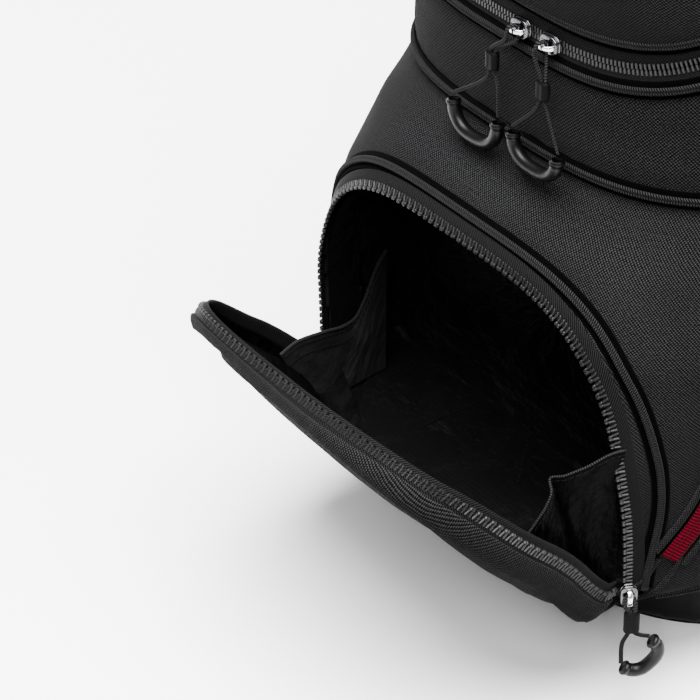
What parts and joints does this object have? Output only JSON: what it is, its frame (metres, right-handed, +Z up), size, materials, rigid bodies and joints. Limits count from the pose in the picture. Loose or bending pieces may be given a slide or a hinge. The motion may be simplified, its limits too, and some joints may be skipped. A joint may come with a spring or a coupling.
{
  "type": "golf staff bag",
  "caption": "Upright black golf bag with an oval body, club dividers, a zipped front pocket hanging open on its flap, an upper pocket, side pockets and a shoulder strap.",
  "frame": {"origin": "centre of the ground face, under the middle of the club tube", "axes": "+Z up along the bag, -Y the front with the ball pocket, +X the right side seen from the front"},
  "size_m": [0.366, 0.4661, 0.902],
  "materials": {
    "shell": "woven polyester, black",
    "band": "coarse black weave",
    "piping": "cloth-covered cord, black",
    "lining": "thin black lining with a slight sheen",
    "zipper": "moulded teeth on a ribbed tape, black",
    "red_zipper": "crimson ribbed tape",
    "moulded": "fine-grained moulding, black",
    "rubber": "smooth black rubber",
    "cord": "braided black cord",
    "metal": "bright nickel",
    "pad": "padded black fabric"
  },
  "bodies": {
    "bag": {"base_pad": "rubber", "base_cup": "moulded", "lower_shell": "shell", "shell_floor": "shell", "waist_panel": "band", "waist_piping": "piping", "ball_zipper_shell": "zipper", "ball_pocket_piping": "piping", "ball_pocket_liner": "lining", "upper_shell": "shell", "upper_zipper_shell": "zipper", "upper_pocket_piping": "piping", "side_zipper_right": "red_zipper", "side_zipper_left": "red_zipper", "garment_zipper": "red_zipper", "garment_panel": "pad", "club_tube": "lining", "top_cuff": "moulded", "divider_frame": "moulded", "divider_sheet": "lining", "cuff_handle": "rubber", "spine_handle": "band"},
    "ball_flap": {"ball_flap_panel": "shell", "ball_flap_zipper": "zipper", "ball_flap_lining": "lining", "ball_flap_badge": "moulded", "ball_flap_floor": "shell", "ball_gusset_right": "lining", "ball_gusset_left": "lining"},
    "upper_door": {"upper_door_panel": "shell"},
    "ball_slider": {"ball_slider": "metal"},
    "ball_pull": {"ball_pull_cord": "cord", "ball_pull_sleeve": "rubber", "ball_pull_grip": "rubber"},
    "upper_slider_left": {"upper_slider_left": "metal"},
    "upper_pull_left": {"upper_pull_left_cord": "cord", "upper_pull_left_sleeve": "rubber", "upper_pull_left_grip": "rubber"},
    "upper_slider_right": {"upper_slider_right": "metal"},
    "upper_pull_right": {"upper_pull_right_cord": "cord", "upper_pull_right_sleeve": "rubber", "upper_pull_right_grip": "rubber"},
    "side_slider_right": {"side_right_slider": "metal"},
    "side_tab_right": {"side_right_tab": "rubber"},
    "side_slider_left": {"side_left_slider": "metal"},
    "side_tab_left": {"side_left_tab": "rubber"},
    "garment_slider": {"garment_slider": "metal"},
    "garment_tab": {"garment_tab": "rubber"},
    "towel_ring": {"towel_ring": "metal"},
    "strap": {"strap_web_upper": "band", "strap_web_lower": "band", "strap_pad": "pad", "strap_ring_upper": "metal", "strap_ring_lower": "metal"}
  },
  "joints": [
    {"name": "ball_flap_fold", "type": "hinge", "parent": "bag", "child": "ball_flap", "pos_m": [0, -0.183, 0.063], "axis": [1, 0, 0], "range_deg": [-42, 25]},
    {"name": "upper_door_fold", "type": "hinge", "parent": "bag", "child": "upper_door", "pos_m": [0, -0.158, 0.5415], "axis": [-1, 0, 0], "range_deg": [0, 60]},
    {"name": "ball_slider_travel", "type": "slide", "parent": "bag", "child": "ball_slider", "axis": [0, 0, 1], "range_m": [0, 0.035]},
    {"name": "ball_pull_swing", "type": "hinge", "parent": "ball_slider", "child": "ball_pull", "pos_m": [0.12866, -0.1747, 0.073], "axis": [-0.5381, -0.8429, 0], "range_deg": [0, 55]},
    {"name": "upper_slider_left_travel", "type": "slide", "parent": "upper_door", "child": "upper_slider_left", "axis": [-1, 0, 0], "range_m": [0, 0.05]},
    {"name": "upper_pull_left_swing", "type": "hinge", "parent": "upper_slider_left", "child": "upper_pull_left", "pos_m": [0.012, -0.16187, 0.327], "axis": [-1, 0, 0], "range_deg": [0, 100]},
    {"name": "upper_slider_right_travel", "type": "slide", "parent": "upper_door", "child": "upper_slider_right", "axis": [0.9968, 0.0797, 0], "range_m": [0, 0.025]},
    {"name": "upper_pull_right_swing", "type": "hinge", "parent": "upper_slider_right", "child": "upper_pull_right", "pos_m": [0.032, -0.16132, 0.327], "axis": [-1, 0, 0], "range_deg": [0, 100]},
    {"name": "side_slider_right_travel", "type": "slide", "parent": "bag", "child": "side_slider_right", "axis": [0.0338, 0.3439, 0.9384], "range_m": [-0.03, 0.01]},
    {"name": "side_tab_right_swing", "type": "hinge", "parent": "side_slider_right", "child": "side_tab_right", "pos_m": [0.14949, -0.11029, 0.18629], "axis": [-0.2042, -0.9167, 0.3434], "range_deg": [0, 100]},
    {"name": "side_slider_left_travel", "type": "slide", "parent": "bag", "child": "side_slider_left", "axis": [-0.0338, 0.3439, 0.9384], "range_m": [-0.03, 0.01]},
    {"name": "side_tab_left_swing", "type": "hinge", "parent": "side_slider_left", "child": "side_tab_left", "pos_m": [-0.14949, -0.11029, 0.18629], "axis": [-0.2042, 0.9168, -0.3433], "range_deg": [0, 100]},
    {"name": "garment_slider_travel", "type": "slide", "parent": "bag", "child": "garment_slider", "axis": [-0.0035, 0.0168, 0.9999], "range_m": [-0.05, 0]},
    {"name": "garment_tab_swing", "type": "hinge", "parent": "garment_slider", "child": "garment_tab", "pos_m": [0.13283, -0.05154, 0.78004], "axis": [-0.1245, -0.9921, 0.0162], "range_deg": [0, 100]},
    {"name": "towel_ring_swing", "type": "hinge", "parent": "bag", "child": "towel_ring", "pos_m": [0.09482, -0.1184, 0.846], "axis": [-0.8446, -0.5353, 0], "range_deg": [0, 90]},
    {"name": "strap_swing", "type": "hinge", "parent": "bag", "child": "strap", "pos_m": [-0.139, 0.008, 0.576], "axis": [0, 0, 1], "range_deg": [-12, 12]}
  ]
}
